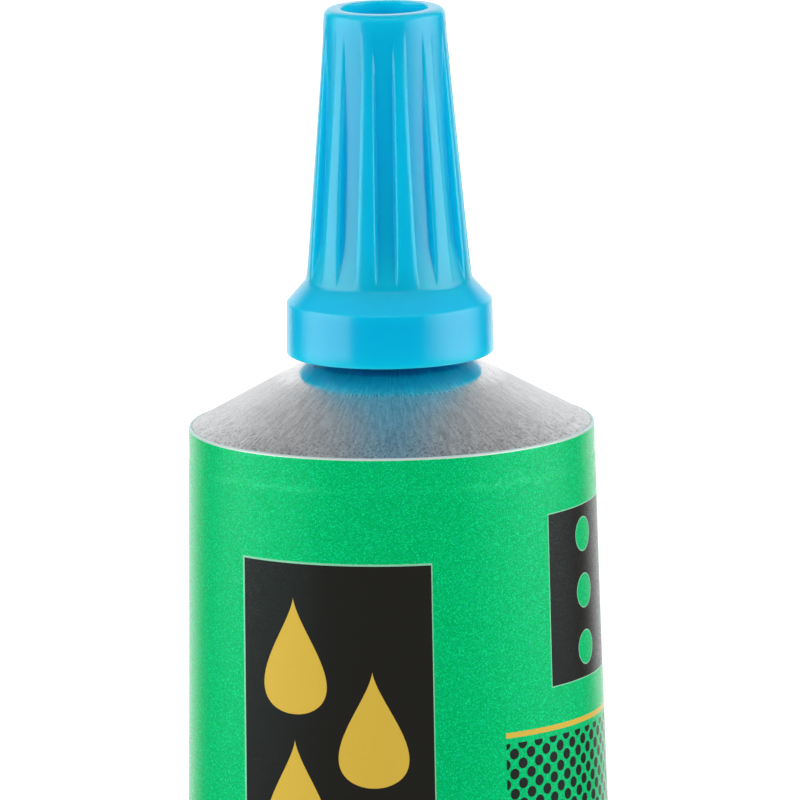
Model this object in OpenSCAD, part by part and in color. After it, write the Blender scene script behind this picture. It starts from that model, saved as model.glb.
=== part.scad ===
// A collapsible aluminium tube of glue gel, upright on its folded tail with its screw cap on top.
// Millimetres. +Z runs up the tube's axis to the cap. The broad faces of the flattened tail look
// along -Y and +Y. The origin is the middle of the lower edge of the tail fold.

/* [Tube wall] */
// Diameter of the tube's round end, at the shoulder
tube_d = 22; // [18:0.5:30]
// Length of the wall, from the rim of the shoulder down to the tail fold
wall_len = 100; // [80:1:130]
// Thickness of the wall
wall_t = 0.15; // [0.1:0.01:0.25]
// Share of the flattening that is even along the wall; the rest gathers towards the tail
even_taper = 0.17; // [0:0.01:0.5]
// Width of the creased edge on each side of the flat tail, where the two walls lie together
crease_w = 1.2; // [0.8:0.1:2.5]

/* [Tail] */
// Height of the folded tail
fold_h = 5; // [3.5:0.5:9]
// Thickness of the two walls pressed together, in front of the fold's turned-over part
fold_front_t = 0.7; // [0.6:0.05:1]
// Thickness of the layers turned over to the back
fold_back_t = 0.8; // [0.5:0.05:1.6]
// Height of the bare step between the turned-over layers and the wall
fold_step_h = 0.7; // [0.4:0.1:1.5]
// Height of the sealant wedge above the fold
sealant_h = 2; // [1:0.1:4]

/* [Shoulder] */
// Slope of the conical shoulder, in degrees above the horizontal
shoulder_slope = 29.4; // [22:0.2:38]
// Thickness of the shoulder's metal
shoulder_t = 0.7; // [0.5:0.05:0.9]
// Height of the skirt inside the top of the wall
skirt_h = 1.5; // [1.2:0.1:3]
// Thickness of the skirt
skirt_t = 0.4; // [0.3:0.05:0.6]

/* [Neck and nozzle] */
// Radius of the neck at the root of its thread
neck_r = 2.95; // [2.8:0.05:3.2]
// Height of the neck
neck_h = 3.8; // [3.4:0.1:4.4]
// Rise of the thread in one turn
thread_pitch = 1.5; // [1.4:0.05:1.7]
// Depth of the thread
thread_depth = 0.5; // [0.4:0.05:0.55]
// Radius of the bore through the neck
neck_bore_r = 1.6; // [1.2:0.05:1.8]
// Radius of the nozzle above the neck
nozzle_r = 2.2; // [2.1:0.05:2.5]
// Radius of the nozzle's tip
tip_r = 1.3; // [1.1:0.05:1.4]
// Length of the nozzle's tip
tip_len = 1.4; // [1:0.1:2]
// Radius of the channel through the nozzle
channel_r = 0.8; // [0.5:0.05:0.9]
// Thickness of the membrane that closes the tip
membrane_t = 0.2; // [0.1:0.02:0.3]

/* [Cap] */
// Height of the cap
cap_h = 18.8; // [17.5:0.1:24]
// Radius of the flange at the cap's lower end
flange_r = 5.6; // [5.4:0.05:6.5]
// Height of the flange's side
flange_h = 3.05; // [2.6:0.05:3.4]
// Rise of the flange's sloping top
lip_h = 0.82; // [0.6:0.02:1]
// Radius of the grip at its foot, on the flange's sloping top
grip_r = 4.5; // [4.4:0.05:4.7]
// Radius of the grip at the cap's top
cap_top_r = 3.25; // [3.1:0.05:3.6]
// Gap between the flange's lower edge and the shoulder under it
cap_gap = 1.04; // [0.8:0.02:1.2]
// Radius of the socket in the cap's top
socket_r = 2.33; // [2.1:0.01:2.4]
// Depth of the socket
socket_depth = 4; // [3.5:0.1:5]
// Depth of the spike's pocket under the socket
pocket_depth = 1.6; // [1.2:0.1:2]
// Thickness of the web under the pocket
web_t = 0.8; // [0.6:0.1:1.2]
// Thickness of the sealing wad under the web
wad_t = 0.8; // [0.5:0.1:1.2]

/* [Flutes] */
// Number of flutes round the grip
flute_count = 12; // [8:1:14]
// Depth of a flute at its foot
flute_depth = 0.36; // [0.2:0.02:0.42]
// Width of a flute
flute_w = 1.24; // [0.8:0.02:1.4]
// Height over which a flute runs out at its foot
flute_runout = 1.7; // [1:0.1:3]
// Distance from the cap's top to the upper end of the flutes
flute_top_gap = 1.3; // [0.8:0.1:3]
// Turn of the first flute from the front, in degrees
flute_turn = -1.8; // [-15:0.2:15]

/* [Clearances] */
// Gap between the shoulder's skirt and the wall
skirt_gap = 0.03; // [0.02:0.01:0.08]
// Gap between the fill and the metal round it
fill_gap = 0.05; // [0.03:0.01:0.1]
// Gap between the cap's thread and the neck, across the thread
thread_gap = 0.22; // [0.2:0.01:0.25]
// Gap between the nozzle and the cap's bore
bore_gap = 0.35; // [0.3:0.01:0.45]
// Gap above and below the sealing wad
wad_gap = 0.05; // [0.03:0.01:0.1]

/* [Hidden] */
$fn = 72;

// Counts of the lofted forms: points round a ring, rings down the wall, steps in a thread's turn
ring_points = 40;
wall_rings = 8;
thread_steps = 20;
arc_steps = 6;
flute_steps = 4;
flute_sides = 4;

// Tube wall; a ring's flat sides come nearer to its axis than its points, by the share given
tube_r = tube_d / 2;
ring_flat = cos(180 / ring_points);
flat_w = PI * tube_d / 2;
rim_z = fold_h + wall_len;
// Power that keeps an ellipse's girth the same while it is flattened
girth_power = 1.685;
sealant_share = 1 - sealant_h / wall_len;
wall_shares = [for (i = [0 : wall_rings]) sealant_share * i / wall_rings];

// Shoulder, neck and nozzle
seat_r = (tube_r - wall_t) * ring_flat - skirt_gap;
skirt_low_r = (flat_t(skirt_h / wall_len) / 2 - wall_t) * ring_flat - skirt_gap;
skirt_r = skirt_low_r - skirt_t;
slope_rise = tan(shoulder_slope);
neck_z = rim_z + (seat_r - neck_r) * slope_rise;
neck_top_z = neck_z + neck_h;
// Rise of a bevel on the nozzle or in the bore for each millimetre that it closes in
bevel_rise = 1.2;
inner_drop = shoulder_t / cos(shoulder_slope);

// Cap, from its lower edge up
cap_z = rim_z + (seat_r - flange_r) * slope_rise + cap_gap;
cap_top_z = cap_z + cap_h;
grip_foot = flange_h + lip_h;
flange_draft = 0.05;
edge_round = 0.15;
lip_round = 0.45;
root_round = 0.8;
top_round = 0.4;
mouth_flare = 0.85;
pocket_gap = 0.15;
pocket_r = tip_r + pocket_gap;
spike_r = 0.6;
spike_clear = 0.2;
socket_z = cap_top_z - socket_depth;
pocket_z = socket_z - pocket_depth;
ceiling_z = pocket_z - web_t;
wad_z = ceiling_z - wad_gap - wad_t;
membrane_z = wad_z - wad_gap - membrane_t;
tip_foot_z = membrane_z - tip_len;
nozzle_top_z = tip_foot_z - (nozzle_r - tip_r) * bevel_rise;

// Flutes: the gap from the grip's foot, the lift of a flute's ends off the grip, the cut's overlap
flute_foot_gap = 0.4;
flute_lift = 0.02;
flute_overlap = 1.06;

// Bores of the cap, each one clearance larger than what it holds
thread_r = neck_r + thread_depth;
thread_bore_r = thread_r + thread_gap;
nozzle_bore_r = nozzle_r + bore_gap;
tip_bore_r = tip_r + bore_gap;
wad_r = tip_bore_r - wad_gap;

// Thread: the ridge's width at its root and at its crest, and the turns that fit on the neck
ridge_root_w = 0.5 * thread_pitch;
ridge_crest_w = 0.2 * thread_pitch;
ridge_sink = 0.12;
ridge_start_z = neck_z + ridge_root_w;
ridge_turns = (neck_h - 2 * ridge_root_w) / thread_pitch;

function unit(v) = v / norm(v);

// The tube's thickness along Y at a share of its length, from 0 at the rim to 1 at the fold
function flat_t(share) =
  tube_d - (tube_d - fold_front_t) * (even_taper * share + (1 - even_taper) * pow(share, 3));

// Half the width of an ellipse of that thickness that has the round tube's girth
function half_w(t) = flat_w / 2 - (flat_w / 2 - tube_r) * pow(t / tube_d, girth_power);

function share_z(share) = rim_z - share * wall_len;

// Points of an ellipse, half a step off its axes, so that the tube has a flat side to lie on
function ring(z, a, b) = [
  for (i = [0 : ring_points - 1])
    let (turn = 360 * (i + 0.5) / ring_points) [a * cos(turn), b * sin(turn), z]
];

// Rings of the wall's outside, and of its inside or what fills it, drawn in by the depth given
function outer_ring(share) = ring(share_z(share), half_w(flat_t(share)), flat_t(share) / 2);

function inner_ring(share, depth, z) =
  let (t = flat_t(share))
    ring(z, half_w(t) - depth - crease_w * (1 - t / tube_d), t / 2 - depth);

// A profile's corner [x, y, radius] as an arc between the corners before and after it
function corner_arc(before, corner, after) =
  corner[2] == 0 ? [[corner[0], corner[1]]] :
  let (
    point = [corner[0], corner[1]],
    back = unit([before[0], before[1]] - point),
    ahead = unit([after[0], after[1]] - point),
    half_angle = acos(back * ahead) / 2,
    centre = point + unit(back + ahead) * corner[2] / sin(half_angle),
    start = point + back * corner[2] / tan(half_angle) - centre,
    stop = point + ahead * corner[2] / tan(half_angle) - centre,
    from = atan2(start[1], start[0]),
    turn = (atan2(stop[1], stop[0]) - from + 540) % 360 - 180
  )
    [for (i = [0 : arc_steps])
      centre + corner[2] * [cos(from + turn * i / arc_steps), sin(from + turn * i / arc_steps)]];

function rounded(corners) = [
  for (i = [0 : len(corners) - 1])
    each corner_arc(
      corners[(i + len(corners) - 1) % len(corners)],
      corners[i],
      corners[(i + 1) % len(corners)]
    )
];

// Section of a helical ridge at a count of turns: its inner edge, then its outer edge
function ridge_section(turns, start_z, inner, inner_w, outer, outer_w) =
  let (z = start_z + turns * thread_pitch, around = [cos(360 * turns), sin(360 * turns)])
    [
      [inner * around[0], inner * around[1], z - inner_w / 2],
      [inner * around[0], inner * around[1], z + inner_w / 2],
      [outer * around[0], outer * around[1], z + outer_w / 2],
      [outer * around[0], outer * around[1], z - outer_w / 2]
    ];

// Depth of a flute at a height on the cap; it clears the grip by a little at both ends
function flute_cut(h, foot_h, runout_h, top_h) =
  h < runout_h
  ? (flute_depth + flute_lift) * sin(90 * (h - foot_h) / flute_runout) - flute_lift
  : (flute_depth + flute_lift) * (top_h - h) / (top_h - runout_h) - flute_lift;

// Section of a flute: a hollow floor under the round of the grip, and two points outside it
function flute_section(h, cut) =
  let (
    r = grip_r + (cap_top_r - grip_r) * (h - grip_foot) / (cap_h - grip_foot),
    edge = flute_w / 2 * flute_overlap,
    rise = max(cut, flute_lift)
  )
    concat(
      [for (i = [0 : flute_sides])
        let (side = edge * (1 - 2 * i / flute_sides))
          [sqrt(r * r - side * side) - cut + rise * pow(2 * side / flute_w, 2), side, cap_z + h]],
      [[r + flute_depth * 2, -edge, cap_z + h], [r + flute_depth * 2, edge, cap_z + h]]
    );

// A skin over rings of equal length: closed on itself, or with its first and last ring as ends.
// Each cell is split from its upper ring to its lower one, so skins over the same rings lie alike.
module ring_skin(rings, closed = false) {
  count = len(rings);
  size = len(rings[0]);
  sides = [
    for (i = [0 : count - (closed ? 1 : 2)], j = [0 : size - 1])
      let (
        a = i * size + j,
        b = (i + 1) % count * size + j,
        c = (i + 1) % count * size + (j + 1) % size,
        d = i * size + (j + 1) % size,
        rising = rings[(i + 1) % count][0][2] > rings[i][0][2]
      )
        each rising ? [[a, b, d], [b, c, d]] : [[a, b, c], [a, c, d]]
  ];
  ends = closed ? [] : [
    [for (j = [0 : size - 1]) j],
    [for (j = [size - 1 : -1 : 0]) (count - 1) * size + j]
  ];
  polyhedron(points = [for (r = rings) each r], faces = concat(sides, ends), convexity = 6);
}

module tube_wall() {
  shares = concat(wall_shares, [1]);
  last = len(shares) - 1;
  color([0.02, 0.74, 0.39])
    ring_skin(
      concat(
        [for (i = [last : -1 : 0]) outer_ring(shares[i])],
        [for (share = shares) inner_ring(share, wall_t, share_z(share))]
      ),
      closed = true
    );
}

// The end of the wall, pressed flat and turned over to the back
module tail_fold() {
  front = fold_front_t / 2;
  back = front + fold_back_t;
  round_r = 0.4 * fold_front_t;
  color([0.02, 0.68, 0.36])
    translate([-flat_w / 2, 0, 0])
      rotate([90, 0, 90])
        linear_extrude(flat_w)
          polygon(rounded([
            [-front, 0, round_r],
            [back, 0, round_r],
            [back, fold_h - fold_step_h, round_r],
            [front, fold_h - fold_step_h, 0],
            [front, fold_h, 0],
            [-front, fold_h, 0]
          ]));
}

// Latex that fills the narrow end between the two walls
module tail_sealant() {
  depth = wall_t + fill_gap;
  color([0.86, 0.80, 0.62])
    ring_skin([
      inner_ring(1, depth, fold_h),
      inner_ring(sealant_share, depth, share_z(sealant_share))
    ]);
}

// Conical shoulder with its skirt, threaded neck and slender nozzle, one piece of bare metal
module shoulder() {
  inner_z = rim_z - inner_drop;
  bore_z = inner_z + (seat_r - neck_bore_r) * slope_rise;
  color([0.74, 0.75, 0.76]) {
    rotate_extrude()
      polygon([
        [skirt_r, rim_z - skirt_h],
        [skirt_low_r, rim_z - skirt_h],
        [seat_r, rim_z],
        [neck_r, neck_z],
        [neck_r, neck_top_z],
        [nozzle_r, neck_top_z + (neck_r - nozzle_r) * bevel_rise],
        [nozzle_r, nozzle_top_z],
        [tip_r, tip_foot_z],
        [tip_r, membrane_z],
        [channel_r, membrane_z],
        [channel_r, neck_top_z],
        [neck_bore_r, neck_top_z - (neck_bore_r - channel_r) * bevel_rise],
        [neck_bore_r, bore_z],
        [skirt_r, inner_z + (seat_r - skirt_r) * slope_rise]
      ]);
    neck_thread();
  }
}

module neck_thread() {
  steps = ceil(ridge_turns * thread_steps);
  ring_skin([
    for (i = [0 : steps])
      ridge_section(
        ridge_turns * i / steps, ridge_start_z,
        neck_r - ridge_sink, ridge_root_w, thread_r, ridge_crest_w
      )
  ]);
}

// Thin disc across the end of the nozzle, pierced before the first use
module nozzle_membrane() {
  color([0.80, 0.81, 0.82])
    translate([0, 0, membrane_z])
      cylinder(h = membrane_t, r = tip_r);
}

// The glue gel, from the sealant up into the shoulder and the bore of the neck
module glue_gel() {
  depth = wall_t + fill_gap;
  skirt_low_z = rim_z - skirt_h - fill_gap;
  fill_r = skirt_r - fill_gap;
  inner_z = rim_z - inner_drop - fill_gap / cos(shoulder_slope);
  bore_r = neck_bore_r - fill_gap;
  in_wall = [for (share = wall_shares) if (share_z(share) < skirt_low_z) share];
  last = len(in_wall) - 1;
  low_z = share_z(sealant_share) + fill_gap;
  color([0.93, 0.90, 0.74])
    ring_skin(concat(
      [for (i = [last : -1 : 0]) inner_ring(in_wall[i], depth, max(share_z(in_wall[i]), low_z))],
      [
        inner_ring((rim_z - skirt_low_z) / wall_len, depth, skirt_low_z),
        ring(skirt_low_z, fill_r, fill_r),
        ring(inner_z + (seat_r - fill_r) * slope_rise, fill_r, fill_r),
        ring(inner_z + (seat_r - bore_r) * slope_rise, bore_r, bore_r),
        ring(neck_z, bore_r, bore_r)
      ]
    ));
}

// Screw cap: a fluted tapering grip on a plain flange, with a spike in the socket of its top
module cap() {
  color([0.0, 0.70, 0.87]) {
    difference() {
      cap_body();
      for (i = [0 : flute_count - 1])
        rotate([0, 0, flute_turn - 90 + i * 360 / flute_count])
          flute();
    }
    cap_thread();
  }
}

module cap_body() {
  rotate_extrude()
    polygon(rounded([
      [thread_bore_r + mouth_flare, cap_z, 0],
      [flange_r, cap_z, edge_round],
      [flange_r - flange_draft, cap_z + flange_h, lip_round],
      [grip_r, cap_z + grip_foot, root_round],
      [cap_top_r, cap_top_z, top_round],
      [socket_r, cap_top_z, edge_round],
      [socket_r, socket_z, 0],
      [pocket_r, socket_z, 0],
      [pocket_r, pocket_z, 0],
      [spike_r, pocket_z, 0],
      [0, socket_z - spike_clear, 0],
      [0, ceiling_z, 0],
      [tip_bore_r, ceiling_z, 0],
      [tip_bore_r, tip_foot_z, 0],
      [nozzle_bore_r, tip_foot_z - (nozzle_bore_r - tip_bore_r) * bevel_rise, 0],
      [nozzle_bore_r, neck_top_z + (thread_bore_r - nozzle_bore_r) * bevel_rise, 0],
      [thread_bore_r, neck_top_z, 0],
      [thread_bore_r, cap_z + mouth_flare, 0]
    ]));
}

// One flute: a shallow hollow of even width that deepens from the top and runs out at its foot
module flute() {
  top_h = cap_h - flute_top_gap;
  foot_h = grip_foot + flute_foot_gap;
  runout_h = foot_h + flute_runout;
  heights = concat(
    [for (i = [0 : flute_steps]) foot_h + flute_runout * i / flute_steps],
    [for (i = [1 : flute_steps]) runout_h + (top_h - runout_h) * i / flute_steps]
  );
  ring_skin([for (h = heights) flute_section(h, flute_cut(h, foot_h, runout_h, top_h))]);
}

// The ridge in the cap's bore, half a pitch above the neck's at every turn
module cap_thread() {
  start_z = ridge_start_z + thread_pitch / 2;
  first = (cap_z + mouth_flare + ridge_root_w / 2 - start_z) / thread_pitch;
  turns = (neck_top_z - ridge_root_w / 2 - start_z) / thread_pitch - first;
  steps = ceil(turns * thread_steps);
  ring_skin([
    for (i = [0 : steps])
      ridge_section(
        first + turns * i / steps, start_z,
        neck_r + thread_gap, ridge_crest_w, thread_bore_r + ridge_sink, ridge_root_w
      )
  ]);
}

// Soft disc that seals the cap on the nozzle
module cap_wad() {
  color([0.93, 0.93, 0.90])
    translate([0, 0, wad_z])
      cylinder(h = wad_t, r = wad_r);
}

tube_wall();
tail_fold();
tail_sealant();
shoulder();
nozzle_membrane();
glue_gel();
cap();
cap_wad();
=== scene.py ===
import bpy
import numpy as np
from mathutils import Matrix, Vector


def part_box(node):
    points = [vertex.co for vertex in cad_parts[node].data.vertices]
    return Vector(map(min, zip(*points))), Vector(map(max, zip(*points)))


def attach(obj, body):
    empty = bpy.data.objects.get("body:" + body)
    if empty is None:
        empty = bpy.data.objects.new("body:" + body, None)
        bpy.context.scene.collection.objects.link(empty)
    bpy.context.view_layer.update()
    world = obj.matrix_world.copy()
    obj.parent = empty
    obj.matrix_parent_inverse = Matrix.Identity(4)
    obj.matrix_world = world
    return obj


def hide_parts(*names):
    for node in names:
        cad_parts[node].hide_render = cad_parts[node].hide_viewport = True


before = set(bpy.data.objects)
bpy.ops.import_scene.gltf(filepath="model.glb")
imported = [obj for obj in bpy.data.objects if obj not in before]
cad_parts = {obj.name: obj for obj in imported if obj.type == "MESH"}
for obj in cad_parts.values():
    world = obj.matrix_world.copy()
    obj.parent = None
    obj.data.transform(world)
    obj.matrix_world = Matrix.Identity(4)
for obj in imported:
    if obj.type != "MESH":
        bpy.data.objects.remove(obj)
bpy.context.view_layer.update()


# Tube wall: thin aluminium, drawn in one blow with the shoulder, and pressed flat towards the tail
# once the tube is filled. Its outside is lacquered green and printed. The trimmed edge at the rim is
# bare metal.
mm = 0.001
wall_low, wall_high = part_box("tube_wall")
tail_z = wall_low.z / mm
rim_z = wall_high.z / mm
tube_d = 22.0
wall_t = 0.15
crease_w = 1.2
collar_h = 1.6
press_t = 0.7
even_taper = 0.17
girth_power = 1.685
girth = np.pi * tube_d
flat_shift = 0.18


def flat_section(z):
    """Half width and half thickness of the wall at heights z. A collar stays round, where the shoulder
    holds it. Below it the thickness falls to that of the pressed tail, by an even share of the way and
    a share that grows with its cube. The width is that of an ellipse of the round tube's girth."""
    share = np.clip((rim_z - collar_h - z) / (rim_z - collar_h - tail_z), 0, 1)
    thick = tube_d - (tube_d - press_t) * (even_taper * share + (1 - even_taper) * share ** 3)
    half_w = girth / 4 - (girth / 4 - tube_d / 2) * (thick / tube_d) ** girth_power
    return half_w, thick / 2


def flat_inside(z, depth):
    """Half width and half thickness at heights z, at a depth inside the wall. The inside also stays
    clear of the creases at the two sides, the more so the flatter the wall is."""
    half_w, half_t = flat_section(z)
    crease = crease_w * (1 - half_t * 2 / tube_d)
    return half_w - depth - crease, half_t - depth


def smooth(low, high, x):
    """A rise from 0 at low to 1 at high that starts and ends level: 3 s squared minus 2 s cubed."""
    s = np.clip((x - low) / (high - low), 0, 1)
    return s * s * (3 - 2 * s)


def girth_turns(size, half_w, half_t):
    """Turns from the front, from minus half a turn to half a turn, that lie about evenly round an
    ellipse: a flat ellipse moves each towards the front or back by the sine of twice the turn."""
    even = np.linspace(-np.pi, np.pi, size, endpoint=False)
    flatness = 1 - half_t / half_w
    return even - flat_shift * flatness[:, None] * np.sin(2 * even)


def flat_rings(z, half_w, half_t, size):
    """Rings of an ellipse at heights z: x is the half width by the turn's sine, y is minus the half
    thickness by its cosine, so the rings run from the back by -X, the front and +X to the back."""
    turn = girth_turns(size, half_w, half_t)
    x = half_w[:, None] * np.sin(turn)
    y = -half_t[:, None] * np.cos(turn)
    return np.stack([x, y, np.broadcast_to(z[:, None], x.shape)], -1)


def skin(name, rings, v, material, closed=False, sharp=40):
    """A mesh over rings[i, j], point j of ring i in millimetres. Each cell joins two neighbours of a
    ring with the same two of the next. A closed skin joins its last ring to its first; an open one
    ends in fans of triangles to the middle of its end rings. u runs round each ring and v along."""
    count, size = rings.shape[:2]
    row = np.arange(count if closed else count - 1)[:, None] * size
    col = np.arange(size)
    after = (col + 1) % size
    above = (row + size) % (count * size)
    quads = np.stack([row + col, row + after, above + after, above + col], -1).reshape(-1, 4)
    left = np.broadcast_to(col / size, (len(row), size))
    right = left + 1 / size
    low = np.broadcast_to(v[:len(row), None], left.shape)
    high = np.broadcast_to(v[1:len(row) + 1, None], left.shape)
    uv = np.stack([left, low, right, low, right, high, left, high], -1).reshape(-1, 2)
    points = rings.reshape(-1, 3)
    faces = quads.tolist()
    if not closed:
        points = np.vstack([points, rings[0].mean(0), rings[-1].mean(0)])
        first, last = count * size, (count - 1) * size
        fans = np.vstack([
            np.stack([after, col, np.full(size, first)], -1),
            np.stack([last + col, last + after, np.full(size, first + 1)], -1),
        ])
        faces += fans.tolist()
        edge = np.stack([col / size, (col + 1) / size, (col + 0.5) / size], -1)
        ends = np.stack([edge[:, [1, 0, 2]], np.broadcast_to([v[0], v[0], 0.0], (size, 3))], -1)
        tops = np.stack([edge, np.broadcast_to([v[-1], v[-1], 1.0], (size, 3))], -1)
        uv = np.vstack([uv, ends.reshape(-1, 2), tops.reshape(-1, 2)])
    mesh = bpy.data.meshes.new(name)
    mesh.from_pydata((points * mm).tolist(), [], faces)
    mesh.uv_layers.new(name="OFBake").data.foreach_set("uv", uv.ravel())
    mesh.polygons.foreach_set("use_smooth", np.ones(len(faces), bool))
    mesh.set_sharp_from_angle(angle=np.radians(sharp))
    mesh.materials.append(material)
    piece = bpy.data.objects.new(name, mesh)
    bpy.context.collection.objects.link(piece)
    return piece


def feed(tree, node, sources):
    """Joins each named input of a node to the socket given for it, or sets it to the value given."""
    for name, source in sources.items():
        if isinstance(source, bpy.types.NodeSocket):
            tree.links.new(source, node.inputs[name])
        else:
            node.inputs[name].default_value = source


def add(tree, kind, sources=None, **settings):
    """A shader node of that kind with its settings and inputs."""
    made = tree.nodes.new("ShaderNode" + kind)
    for name, value in settings.items():
        setattr(made, name, value)
    feed(tree, made, sources or {})
    return made


def calc(tree, operation, *values):
    """The result of one Math node."""
    return add(tree, "Math", dict(enumerate(values)), operation=operation).outputs[0]


def blend(tree, share, first, second):
    """A colour that goes from the first to the second as the share goes from 0 to 1. Inputs 6 and 7 of
    a Mix node are its colours, and its output 2 is the mixed one."""
    return add(tree, "Mix", {0: share, 6: first, 7: second}, data_type="RGBA").outputs[2]


def ramp(tree, value, low, high, start=0.0, stop=1.0):
    """A value that goes evenly from start to stop as the given one goes from low to high."""
    return add(tree, "MapRange", {
        "Value": value, "From Min": low, "From Max": high, "To Min": start, "To Max": stop}).outputs[0]


def noise(tree, place, scale, detail, roughness=0.5):
    """Smooth noise about a half, with that many waves to a unit of the place."""
    return add(tree, "TexNoise", {
        "Vector": place, "Scale": scale, "Detail": detail, "Roughness": roughness}).outputs[0]


def places(tree):
    """Places on the piece, in metres."""
    return add(tree, "TexCoord").outputs["Object"]


def relief(tree, height, strength, depth):
    """Normals that follow a height over the surface, for a depth in millimetres."""
    return add(tree, "Bump", {"Strength": strength, "Distance": depth * mm, "Height": height}).outputs[0]


def paint(red, green, blue):
    """A screen colour of 0 to 255 as the light it stands for: the power 2.4 of its share, offset."""
    share = np.array([red, green, blue]) / 255
    light = np.where(share > 0.04045, ((share + 0.055) / 1.055) ** 2.4, share / 12.92)
    return (*light.tolist(), 1.0)


def new_finish(name):
    """A new material with its tree and its Principled shader."""
    material = bpy.data.materials.new(name)
    material.use_nodes = True
    tree = material.node_tree
    return material, tree, tree.nodes["Principled BSDF"]


def new_effect(name, inputs, outputs):
    """A new node group with its named inputs and outputs."""
    group = bpy.data.node_groups.new(name, "ShaderNodeTree")
    for label in inputs:
        group.interface.new_socket(label, in_out="INPUT", socket_type="NodeSocketFloat")
    for label in outputs:
        group.interface.new_socket(label, in_out="OUTPUT", socket_type="NodeSocketFloat")
    return group, group.nodes.new("NodeGroupInput"), group.nodes.new("NodeGroupOutput")


def effect(tree, group, value):
    """The outputs of a node group placed in a material with its one input's value."""
    return add(tree, "Group", {0: value}, node_tree=group).outputs


# Fine grain of drawn metal: small cells that differ in tone, of which some catch the light, and a
# smooth swell of the same scale for the relief
spark_from = 0.72
fine_grain, grain_in, grain_out = new_effect(
    "fine_grain", ["Cells per metre"], ["Tone", "Spark", "Swell"])
grain_place = places(fine_grain)
grain_cells = add(fine_grain, "TexVoronoi", {
    "Vector": grain_place, "Scale": grain_in.outputs[0], "Randomness": 1.0})
grain_shade = add(fine_grain, "SeparateColor", {"Color": grain_cells.outputs["Color"]})
feed(fine_grain, grain_out, {
    "Tone": grain_shade.outputs[1],
    "Spark": ramp(fine_grain, grain_shade.outputs[0], spark_from, 1.0),
    "Swell": noise(fine_grain, grain_place, grain_in.outputs[0], detail=1.0)})

# Light marks from handling: long thin scuffs at two slants
scuff_tilt = 0.4
scuff_from, scuff_to = 0.66, 0.74
scuffs, scuff_in, scuff_out = new_effect("handling_scuffs", ["Scale"], ["Mark"])
scuff_place = places(scuffs)
scuff_marks = []
for slant, stretch in ((0.5, 9.0), (-0.9, 12.0)):
    scuff_map = add(scuffs, "Mapping", {
        "Vector": scuff_place, "Rotation": (scuff_tilt, slant, slant), "Scale": (1.0, 1.0, stretch)})
    scuff_noise = noise(scuffs, scuff_map.outputs[0], scuff_in.outputs[0], detail=3.0)
    scuff_marks.append(ramp(scuffs, scuff_noise, scuff_from, scuff_to))
feed(scuffs, scuff_out, {"Mark": calc(scuffs, "MAXIMUM", *scuff_marks)})

green = paint(0, 202, 108)
dark_green = (green[0], green[1] * 0.88, green[2] * 0.83, 1.0)
pale_green = (0.006, green[1] * 1.6, green[2] * 2.3, 1.0)
flake_green = paint(20, 206, 150)
ink_black = paint(40, 39, 36)
ink_yellow = paint(232, 195, 77)
hairline = paint(150, 225, 185)
bare_metal = paint(214, 226, 222)
lacquer_cells = 20000.0
lacquer_gloss = 0.14
lacquer_tint = (0.35, 0.9, 1.0, 1.0)
tone_power = 3.0
cloud_scale, cloud_shade, scuff_scale = 160.0, 0.12, 90.0
rough_base, rough_grain, rough_scuff, rough_bare = 0.15, 0.08, 0.08, 0.15
flake_base, flake_spark, flake_coat, bare_shine = 0.03, 0.15, 0.6, 0.3
ink_height = 0.5
inside_v = 0.09

lacquer, tree, shader = new_finish("green_lacquer_print")
wall_uv = add(tree, "SeparateXYZ", {0: add(tree, "UVMap", uv_map="OFBake").outputs[0]})
wall_place = places(tree)
wall_up = add(tree, "SeparateXYZ", {0: wall_place}).outputs[2]
# Places on the unrolled wall in millimetres: round from the front's middle, and down from the rim
round_mm = calc(tree, "MULTIPLY", calc(tree, "SUBTRACT", wall_uv.outputs[0], 0.5), girth)
down_mm = calc(tree, "SUBTRACT", rim_z, calc(tree, "DIVIDE", wall_up, mm))


def both(first, second):
    """A mask that is 1 where both masks are."""
    return calc(tree, "MULTIPLY", first, second)


def either(first, second):
    """A mask that is 1 where one of the masks is."""
    return calc(tree, "MAXIMUM", first, second)


def without(first, second):
    """A mask that is 1 where the first is, with the second cut out of it."""
    return calc(tree, "SUBTRACT", first, second)


def between(value, low, high):
    """A mask that is 1 where the value lies between low and high."""
    return both(calc(tree, "GREATER_THAN", value, low), calc(tree, "LESS_THAN", value, high))


def panel(left, right, top, bottom):
    """A box on the unrolled wall, in millimetres."""
    return both(between(round_mm, left, right), between(down_mm, top, bottom))


def disc(across, down, radius, left, top):
    """A disc about a place: the two squared distances add up to less than the squared radius."""
    x = calc(tree, "SUBTRACT", across, left)
    y = calc(tree, "SUBTRACT", down, top)
    squares = calc(tree, "ADD", calc(tree, "MULTIPLY", x, x), calc(tree, "MULTIPLY", y, y))
    return calc(tree, "LESS_THAN", squares, radius * radius)


# Black panel with a hairline round it and two staggered columns of yellow drops
panel_left, panel_right, panel_top, panel_bottom = -8.9, 2.0, 5.75, 80.0
line_w = 0.11
panel_mask = panel(panel_left, panel_right, panel_top, panel_bottom)
panel_frame = panel(
    panel_left - line_w, panel_right + line_w / 2, panel_top - line_w, panel_bottom + line_w)
drop_h, drop_half_w, drop_step, drop_widest = 6.4, 1.9, 7.8, 0.75
drops_top, drops_apart, drop_count = 7.6, 4.4, 9


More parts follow.
